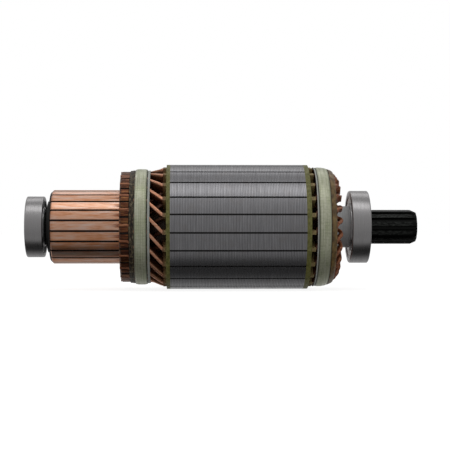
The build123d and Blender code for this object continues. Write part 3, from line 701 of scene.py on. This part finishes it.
def make_winding():
    """The hairpin coils: one strip is drawn along its line and turned into all the slots."""
    bm = bmesh.new()
    outward = bm.verts.layers.float.new("outward")
    half_height = STRIP_HEIGHT / 2
    half_thickness = STRIP_THICKNESS / 2
    signs = ((1, 1), (-1, 1), (-1, -1), (1, -1))
    corners = [bm.verts.new((out * half_height, aside * half_thickness, 0)) for out, aside in signs]
    bm.faces.new(corners)
    bevel(bm, corners, STRIP_EDGE, "VERTICES")
    for v in bm.verts:
        v[outward] = v.co.x / half_height
    frames = strip_frames(coil_path())
    end = bm.faces[:][0]
    bmesh.ops.transform(bm, matrix=frames[0], verts=bm.verts)
    last = frames[0]
    for place in frames[1:]:
        grown = bmesh.ops.extrude_face_region(bm, geom=[end])["geom"]
        end = only(grown, bmesh.types.BMFace)[0]
        bmesh.ops.transform(bm, matrix=place @ last.inverted(), verts=end.verts[:])
        last = place
    bmesh.ops.recalc_face_normals(bm, faces=bm.faces)
    one = as_mesh(bm, "one_coil")
    bm = bmesh.new()
    for angle in slot_angles:
        known = set(bm.verts)
        bm.from_mesh(one)
        rotate(bm, [v for v in bm.verts if v not in known], angle)
    bpy.data.meshes.remove(one)
    show(bm, "hairpin_winding", winding_copper(), ["armature_coils"], sharp=50)


# Commutator

def bar_profile():
    """The outline of a bar along the shaft, with its riser and its two anchor grooves."""
    return [
        (bar_front, ANCHOR_MOUTH),
        (bar_front, BAR_RADIUS - BAR_CHAMFER),
        (bar_front + BAR_CHAMFER, BAR_RADIUS),
        (riser_front, BAR_RADIUS),
        (riser_front, RISER_RADIUS - RISER_CHAMFER),
        (riser_front + RISER_CHAMFER, RISER_RADIUS),
        (riser_back, RISER_RADIUS),
        *anchor_profile(),
    ]


def anchor_profile():
    """The inner line of the bars, from the mouth of the rear anchor groove to the root of the front one."""
    return [
        (riser_back, ANCHOR_MOUTH),
        (riser_back - ANCHOR_DEPTH, ANCHOR_ROOT),
        (riser_back - ANCHOR_SETBACK, BAR_BOTTOM),
        (bar_front + ANCHOR_SETBACK, BAR_BOTTOM),
        (bar_front + ANCHOR_DEPTH, ANCHOR_ROOT),
    ]


def cut_away(mesh, tool):
    """The mesh with the tool's shape cut out of it."""
    target = in_scene("target", mesh)
    cutter = in_scene("cutter", tool)
    modifier = target.modifiers.new("cut", "BOOLEAN")
    modifier.object = cutter
    modifier.operation = "DIFFERENCE"
    modifier.solver = "EXACT"
    depsgraph = bpy.context.evaluated_depsgraph_get()
    result = bpy.data.meshes.new_from_object(target.evaluated_get(depsgraph))
    for item in (target, cutter):
        bpy.data.objects.remove(item)
    return result


def bar_blank():
    """One bar, whose middle lies at angle 0, with the slot for its leads."""
    bm = bmesh.new()
    corners = [bm.verts.new((x, *polar(radius, -PITCH / 2))) for x, radius in bar_profile()]
    spin(bm, [bm.faces.new(corners)], PITCH, TOOTH_STEPS)
    weld(bm)
    for side in (-1, 1):
        across = Vector((0, *polar(0, side * PITCH / 2, side)))
        whole = bm.verts[:] + bm.edges[:] + bm.faces[:]
        plane = {"plane_co": across * -MICA_HALF_THICKNESS, "plane_no": across}
        bmesh.ops.bisect_plane(bm, geom=whole, clear_outer=True, **plane)
        bmesh.ops.holes_fill(bm, edges=[e for e in bm.edges if e.is_boundary])
    weld(bm)
    blank = as_mesh(bm, "bar_blank")
    bm = bmesh.new()
    bmesh.ops.create_cube(bm, size=1)
    length = 2 * (riser_back - riser_front)
    height = RISER_RADIUS
    bmesh.ops.scale(bm, verts=bm.verts, vec=(length, height, LEAD_SLOT_WIDTH))
    bmesh.ops.translate(bm, verts=bm.verts, vec=(riser_front + length / 2, LEAD_SLOT_BOTTOM + height / 2, 0))
    return cut_away(blank, as_mesh(bm, "lead_slot"))


def make_commutator():
    """The bars, the mica between them, the moulding that holds them and its bush."""
    copper = bar_copper()
    blank = bar_blank()
    for number, angle in enumerate(slot_angles, start=1):
        bm = bmesh.new()
        bm.from_mesh(blank)
        weld(bm)
        break_edges(bm, 0.2)
        rotate(bm, bm.verts, angle + MICA_ANGLE + PITCH / 2)
        node = f"commutator_bar_{number:02d}"
        show(bm, f"copper_bar_{number:02d}", copper, [node], sharp=40)
    refinish("mica_segments", mica_plate)
    moulding = [
        (collar_front - LIP_LENGTH, BUSH_RADIUS),
        (collar_front - LIP_LENGTH, LIP_RADIUS),
        (collar_front, LIP_RADIUS),
        (collar_front, BAR_RADIUS - 2 * COLLAR_STEP),
        (bar_front, BAR_RADIUS - COLLAR_STEP),
        (bar_front, ANCHOR_MOUTH),
        *reversed(anchor_profile()),
        (rear_flange, ANCHOR_MOUTH),
        (rear_flange, BUSH_RADIUS),
    ]
    hub = turned(moulding, edge=0.15)
    show(hub, "moulded_hub", black_moulding, ["commutator_moulding"])
    bush = tube(collar_front, rear_flange, BUSH_BORE, BUSH_RADIUS)
    steel = ground_steel("turned_bush_steel", "#7A7977", "#A2A09E", 0.36, 0.5)
    show(turned(bush, edge=0.2), "steel_bush", steel, ["commutator_bush"])


# Supports, bands and tapes

def bend_drop(x):
    """The share of their drop that the bends at the drive end have made at x."""
    share = (x - cuff_right) / (nose_middle - cuff_right)
    return eased(share, BEND_SHAPE, 2)


def wound(left, right, inner, rise, steps):
    """The profile of a wound ring, from its seat at x and its thickness at a share of its width."""
    shares = [step / steps for step in range(steps + 1)]
    places = [left + (right - left) * share for share in shares]
    outer = [(x, inner(x) + rise(share)) for x, share in zip(places, shares)]
    return outer + [(x, inner(x)) for x in reversed(places)]


def crowned(thickness, left_share, right_share, round_share, laps, lap_depth):
    """The thickness of a band over its width: crowned, rounded at its edges, with the laps of its tape."""
    def rise(share):
        edge = min(share / round_share, (1 - share) / round_share, 1.0)
        side = left_share if share < 0.5 else right_share
        shoulder = side + (1 - side) * math.sqrt(1 - (1 - edge) ** 2)
        lap = lap_depth * abs(math.sin(math.pi * laps * share))
        return thickness * shoulder * (0.94 + 0.06 * math.sin(math.pi * share)) - lap
    return rise


def make_supports(laminate, paper):
    """What fills the space under the overhangs, and the sleeve between their layers."""
    name = "commutator_end_winding_support"
    left = span(name)
    drop_end = cuff_left - LEAD_SHAPE[2][0] * (cuff_left - riser_back)
    profile = [
        (left[0], SEAT_RADIUS),
        (left[0], LEAD_FLOOR),
        (drop_end, LEAD_FLOOR),
        (cuff_left, SLOT_BOTTOM),
        (left[1], SLOT_BOTTOM),
        (left[1], SEAT_RADIUS),
    ]
    show(turned(profile, edge=0.2), "commutator_end_filler", laminate, [name])
    name = "drive_end_winding_support"
    right = span(name)
    steps = 20
    line = [cuff_right + (right[1] - cuff_right) * step / steps for step in range(steps + 1)]
    lower_drop = LOWER_SLOT_RADIUS - LOWER_NOSE_RADIUS
    profile = [
        (right[0], SEAT_RADIUS),
        (right[0], SLOT_BOTTOM),
        *[(x, SLOT_BOTTOM - lower_drop * bend_drop(x)) for x in line],
        (right[1], SEAT_RADIUS),
    ]
    show(turned(profile), "drive_end_filler", laminate, [name])
    name = "lead_layer_insulator"
    inner = LOWER_LEAD_RADIUS + STRIP_HEIGHT / 2 + SLEEVE_PLAY
    profile = tube(*span(name), inner, inner + SLEEVE_THICKNESS)
    show(turned(profile), "lead_sleeve", paper, [name])


def make_bands():
    """The lashing, the glass bands with their edge tapes, and the wrapping over the bends."""
    def level(_):
        return LEADS_TOP

    def over_bends(lift):
        return lambda x: BENDS_TOP - BENDS_FALL * bend_drop(x) + lift

    def cord_turns(share):
        return 0.35 + 0.45 * share + 0.3 * abs(math.sin(math.pi * 3 * share))

    left_node = "commutator_end_glass_band"
    right_node = "drive_end_glass_band"
    left_glass = band_glass("commutator_end_glass", *span(left_node), "#7A7464", "#3E4A2E")
    right_glass = band_glass("drive_end_glass", *span(right_node), "#3E4A2E", "#8C8C74")
    # Thickness, what is left of it at each edge, the share of the width that is rounded, laps, their depth
    left_crown = crowned(2.1, 0.55, 0.6, 0.28, 4, 0.07)
    right_crown = crowned(1.8, 0.7, 0.6, 0.2, 4, 0.06)
    left_edge = crowned(0.9, 0.9, 0.45, 0.4, 2, 0.03)
    right_edge = crowned(0.9, 0.6, 0.9, 0.4, 2, 0.03)
    lumps = crowned(0.7, 0.8, 0.6, 0.3, 3, 0.05)
    for node, name, finish, slot, seat, rise, steps in (
        ("lead_lashing", "cord_lashing", lashing_cord, "lashing_cord", level, cord_turns, 30),
        (left_node, "commutator_end_banding", left_glass, "band_glass", level, left_crown, 44),
        ("commutator_end_edge_tape", "commutator_end_tape", edge_tape, "edge_tape", level, left_edge, 12),
        ("drive_end_edge_tape", "drive_end_tape", edge_tape, "edge_tape", over_bends(0.3), right_edge, 12),
        (right_node, "drive_end_banding", right_glass, "band_glass", over_bends(0), right_crown, 44),
        ("bend_wrapping", "bend_varnish_tape", brown_varnish, "brown_varnish", over_bends(0.8), lumps, 20),
    ):
        show(turned(wound(*span(node), seat, rise, steps)), name, finish, [node])


# Shaft

def make_shaft():
    """The turned shaft with the centre hole of its plain end, and the hobbed splines on its other end."""
    chamfer = 1.0
    drill_point = 0.8
    neck_start = commutator_bearing[1]
    drive_face = drive_bearing[0]
    spline_start = drive_bearing[1] + 0.6
    profile = [
        (shaft_left + CENTRE_DEPTH + drill_point, 0),
        (shaft_left + CENTRE_DEPTH, CENTRE_HOLE),
        (shaft_left + CENTRE_HOLE, CENTRE_HOLE),
        (shaft_left, CENTRE_MOUTH),
        (shaft_left, PLAIN_SEAT_RADIUS - chamfer),
        (shaft_left + chamfer, PLAIN_SEAT_RADIUS),
        (neck_start, PLAIN_SEAT_RADIUS),
        (neck_start, NECK_RADIUS),
        (collar_front, NECK_RADIUS),
        (collar_front, BUSH_BORE),
        (rear_flange, BUSH_BORE),
        (rear_flange, SEAT_RADIUS),
        (nose_middle, SEAT_RADIUS),
        (nose_middle, SHOULDER_RADIUS),
        (drive_face, SHOULDER_RADIUS),
        (drive_face, DRIVE_SEAT_RADIUS),
        (spline_start, DRIVE_SEAT_RADIUS),
        (spline_start, 0),
    ]
    bm = turned(profile, closed=False, edge=0.15)
    add_splines(bm, spline_start - 1.0)
    show(bm, "splined_shaft", blackened_steel(), ["shaft"])


def draw_out(bm, ring, x, limit):
    """Extrudes a ring of edges to x and pulls in what lies further out than the limit."""
    grown = bmesh.ops.extrude_edge_only(bm, edges=ring)["geom"]
    for v in only(grown, bmesh.types.BMVert):
        across = Vector((0, v.co.y, v.co.z))
        v.co = Vector((x, 0, 0)) + across * min(1.0, limit / across.length)
    return only(grown, bmesh.types.BMEdge)


def add_splines(bm, left):
    """Adds the splined end from that place to the end of the shaft, with its chamfer and its centre hole."""
    teeth = 12
    floor = 12.35
    half_mouth = 1.95
    half_floor = 1.113
    chamfer_length = 4.6
    chamfer_depth = 2.0
    first = math.radians(5.0)
    mouth = math.asin(half_mouth / CREST_RADIUS)
    tooth = math.tau / teeth - 2 * mouth
    crest_steps = 5
    crest = [first + mouth + tooth * step / crest_steps for step in range(crest_steps + 1)]
    line = [
        polar(floor, first, -half_floor),
        polar(floor, first, half_floor),
        *[polar(CREST_RADIUS, angle) for angle in crest],
        polar(floor, first + math.tau / teeth, -half_floor),
    ]
    end = bmesh.new()
    corners = [end.verts.new((left, *point)) for point in line]
    edges = [end.edges.new(pair) for pair in zip(corners, corners[1:])]
    spin(end, corners + edges, math.tau * (teeth - 1) / teeth, teeth - 1, use_duplicate=True)
    bmesh.ops.remove_doubles(end, verts=end.verts, dist=WELD)
    ring = end.edges[:]
    bmesh.ops.triangle_fill(end, use_beauty=True, edges=ring)
    ring = draw_out(end, ring, shaft_right - chamfer_length, CREST_RADIUS)
    ring = draw_out(end, ring, shaft_right, CREST_RADIUS - chamfer_depth)
    hole = bmesh.ops.create_circle(end, segments=32, radius=CENTRE_MOUTH)["verts"]
    rotate(end, hole, math.pi / 2, "Y")
    bmesh.ops.translate(end, verts=hole, vec=(shaft_right, 0, 0))
    mouth_edges = list({e for v in hole for e in v.link_edges})
    bmesh.ops.triangle_fill(end, use_beauty=True, edges=ring + mouth_edges)
    ring = draw_out(end, mouth_edges, shaft_right - CENTRE_HOLE, CENTRE_HOLE)
    ring = draw_out(end, ring, shaft_right - CENTRE_DEPTH, CENTRE_HOLE)
    bmesh.ops.holes_fill(end, edges=ring)
    bmesh.ops.recalc_face_normals(end, faces=end.faces)
    mesh = as_mesh(end, "spline_end")
    bm.from_mesh(mesh)
    bpy.data.meshes.remove(mesh)


# Bearings

def race(centre, pitch_radius, race_radius, side, shoulder):
    """Points of the groove for the balls, from one shoulder to the other. Side is 1 for the outer ring."""
    reach = math.acos((shoulder - pitch_radius) * side / race_radius)
    steps = 12
    turns = [-reach + 2 * reach * step / steps for step in range(steps + 1)]
    steps_out = [(race_radius * math.sin(turn), race_radius * math.cos(turn)) for turn in turns]
    return [(centre + along, pitch_radius + side * out) for along, out in steps_out]


def cover_profile(face, outward, inner, outer):
    """A pressed cover: a flat disc with a raised bead, thin at its inner lip and rolled in at its rim."""
    heights = (0, 0.35, 0.5, 0.5, 0.8, 0.8, 0.55, 0.55, 1.0, 1.0, 0)
    radii = [inner + step for step in (0, 0, 0.8, 1.6, 2.2)]
    radii += [outer - step for step in (2.4, 1.7, 0.9, 0.5, 0, 0)]
    return [(face + outward * height, radius) for height, radius in zip(heights, radii)]


def make_bearing(end, cover, finish, slot, ring_steel, bore, outside, ball, inner_face):
    """One ball bearing: its rings, and its two covers on the outer ring. Balls and cage keep their shape."""
    left, right = span(f"{end}_bearing_inner_ring")
    centre = (left + right) / 2
    pitch_radius = (bore + outside) / 2
    race_radius = ball / 2 + RACE_PLAY
    shoulder_reach = 0.6 * race_radius
    inner_shoulder = pitch_radius - shoulder_reach
    outer_shoulder = pitch_radius + shoulder_reach
    groove = race(centre, pitch_radius, race_radius, -1, inner_shoulder)
    inner = [(left, bore), (left, inner_shoulder), *groove, (right, inner_shoulder), (right, bore)]
    ring = turned(inner, edge=0.4)
    show(ring, f"{end}_inner_race", ring_steel, [f"{end}_bearing_inner_ring"])
    groove = race(centre, pitch_radius, race_radius, 1, outer_shoulder)
    seat_depth = (right - left) / 2 - inner_face
    cover_seat = outer_shoulder + COVER_SEAT_STEP
    outer = [
        (left, cover_seat),
        (left, outside),
        (right, outside),
        (right, cover_seat),
        (right - seat_depth, cover_seat),
        (right - seat_depth, outer_shoulder),
        *groove[::-1],
        (left + seat_depth, outer_shoulder),
        (left + seat_depth, cover_seat),
    ]
    bm = turned(outer)
    corners = [e for e in bm.edges if e.is_manifold and e.calc_face_angle(0) > 1.0]
    rims = [e for e in corners if abs(Vector((0, *e.verts[0].co.yz)).length - outside) < 0.01]
    bevel(bm, rims, RING_CORNER, segments=3)
    body = f"{end}_outer"
    show(bm, f"{end}_outer_race", ring_steel, [f"{end}_bearing_outer_ring"], body)
    outboard = 1 if end == "drive_end" else -1
    for side, outward in (("inboard", -outboard), ("outboard", outboard)):
        face = centre + outward * inner_face
        profile = cover_profile(face, outward, inner_shoulder + 0.3, cover_seat)
        show(turned(profile), f"{end}_{side}_cover", finish, [f"{end}_bearing_{side}_{cover}"], body)
    refinish(f"{end}_bearing_balls", ring_steel)


def make_bearings():
    """The sealed bearing of the commutator end and the shielded one of the drive end."""
    rings = ground_steel("ground_bearing_steel", "#A5A3A2", "#C0BEC0", 0.3, 0.5)
    shields = ground_steel("pressed_shield_steel", "#CCCAC8", "#E6E4E2", 0.36, 0.8)
    cage = ground_steel("pressed_cage_steel", "#A09C95", "#B5B1AA", 0.4, 0.8)
    make_bearing("commutator_end", "seal", seal_rubber, "seal_rubber", rings, *PLAIN_BEARING)
    make_bearing("drive_end", "shield", shields, "shield_steel", rings, *DRIVE_BEARING)
    refinish("commutator_end_bearing_cage", cage)
    refinish("drive_end_bearing_cage", cage)


# Stage: a pale floor, a white dome, soft lamps and the camera of the photograph
FLOOR_GAP = 0.3

def make_floor():
    """A pale floor under the core. Only the camera sees it, so the studio's own light falls on the part."""
    bm = bmesh.new()
    bmesh.ops.create_grid(bm, x_segments=1, y_segments=1, size=6)
    bmesh.ops.translate(bm, verts=bm.verts, vec=(0, 0, -(CORE_RADIUS + FLOOR_GAP) * MM))
    floor = in_scene("floor", as_mesh(bm, "floor"))
    material = bpy.data.materials.new("pale_floor")
    material.use_nodes = True
    tree = material.node_tree
    tree.nodes.clear()
    pale = add(tree, "BsdfDiffuse", {"Color": "#B4B4B4"})
    glow = add(tree, "Emission", {"Color": "#FFFFFF", "Strength": 0.86})
    floor_look = add(tree, "AddShader", {0: pale, 1: glow})
    clear = add(tree, "BsdfTransparent")
    seen = add(tree, "MixShader", {0: add(tree, "LightPath"), 1: clear, 2: floor_look})
    add(tree, "OutputMaterial", {"Surface": seen})
    floor.data.materials.append(material)


# Light of the studio by its angle about the shaft, in degrees: 0 is in front, 90 above, -90 below
STUDIO_LIGHT = (
    (-180, 0.55), (-140, 0.4), (-112, 0.16), (-101, 0.03), (-72, 0.012), (-62, 0.04),
    (-53, 0.3), (-42, 0.3), (-30, 0.25), (0, 0.32), (30, 0.38), (48, 0.48),
    (66, 0.44), (84, 0.35), (104, 0.38), (130, 0.36), (180, 0.55),
)


def make_world():
    """A dome that is white to the camera and lights the part by direction, dark below and bright above."""
    world = bpy.data.worlds.new("studio")
    bpy.context.scene.world = world
    world.use_nodes = True
    tree = world.node_tree
    tree.nodes.clear()
    direction = add(tree, "TexCoord").node.outputs["Generated"]
    _, y, z = add(tree, "SeparateXYZ", {"Vector": direction}).node.outputs
    front = add(tree, "Math", {0: y, 1: -1.0}, operation="MULTIPLY")
    angle = add(tree, "Math", {0: z, 1: front}, operation="ARCTAN2")
    turn = add(tree, "MapRange", {0: angle, 1: -math.pi, 2: math.pi})
    stops = [((degrees + 180) / 360, light) for degrees, light in STUDIO_LIGHT]
    dome = add(tree, "ValToRGB", {0: turn}, stops)
    seen = add(tree, "Mix", {0: add(tree, "LightPath"), 2: dome, 3: 1.0}, data_type="FLOAT")
    light = add(tree, "Background", {"Color": "#FFFFFF", "Strength": seen})
    add(tree, "OutputWorld", {"Surface": light})


def make_lamp(name, place, target, size, power):
    """A soft lamp that looks at the target."""
    data = bpy.data.lights.new(name, "AREA")
    data.shape = "RECTANGLE"
    data.size, data.size_y = size
    data.energy = power
    lamp = in_scene(name, data)
    lamp.location = place
    lamp.rotation_euler = (Vector(target) - Vector(place)).to_track_quat("-Z", "Y").to_euler()


def make_camera():
    """The camera of the photograph: level with the shaft, with the commutator end a little nearer."""
    distance = 1.118
    half_frame = 0.1935
    aim = Vector((-0.1144, 0, 0.0016))
    turn = math.radians(-1.72)
    data = bpy.data.cameras.new("camera")
    data.lens = data.sensor_width / 2 * distance / half_frame
    camera = in_scene("camera", data)
    camera.location = aim + Vector((math.sin(turn), -math.cos(turn), 0)) * distance
    camera.rotation_euler = (math.pi / 2, 0, turn)
    bpy.context.scene.camera = camera


laminate = wedge_laminate()
paper = make_core(laminate)
make_winding()
make_commutator()
make_supports(laminate, paper)
make_bands()
make_shaft()
make_bearings()
make_floor()
make_world()
core_place = (-0.11, 0, 0)
make_lamp("key_lamp", (-0.15, -0.35, 1.1), core_place, (1.4, 0.5), 1.85)
make_lamp("rim_lamp", (-0.1, 0.6, 0.9), core_place, (1.2, 0.4), 1.0)
make_camera()

bpy.context.scene.view_settings.view_transform = "Standard"
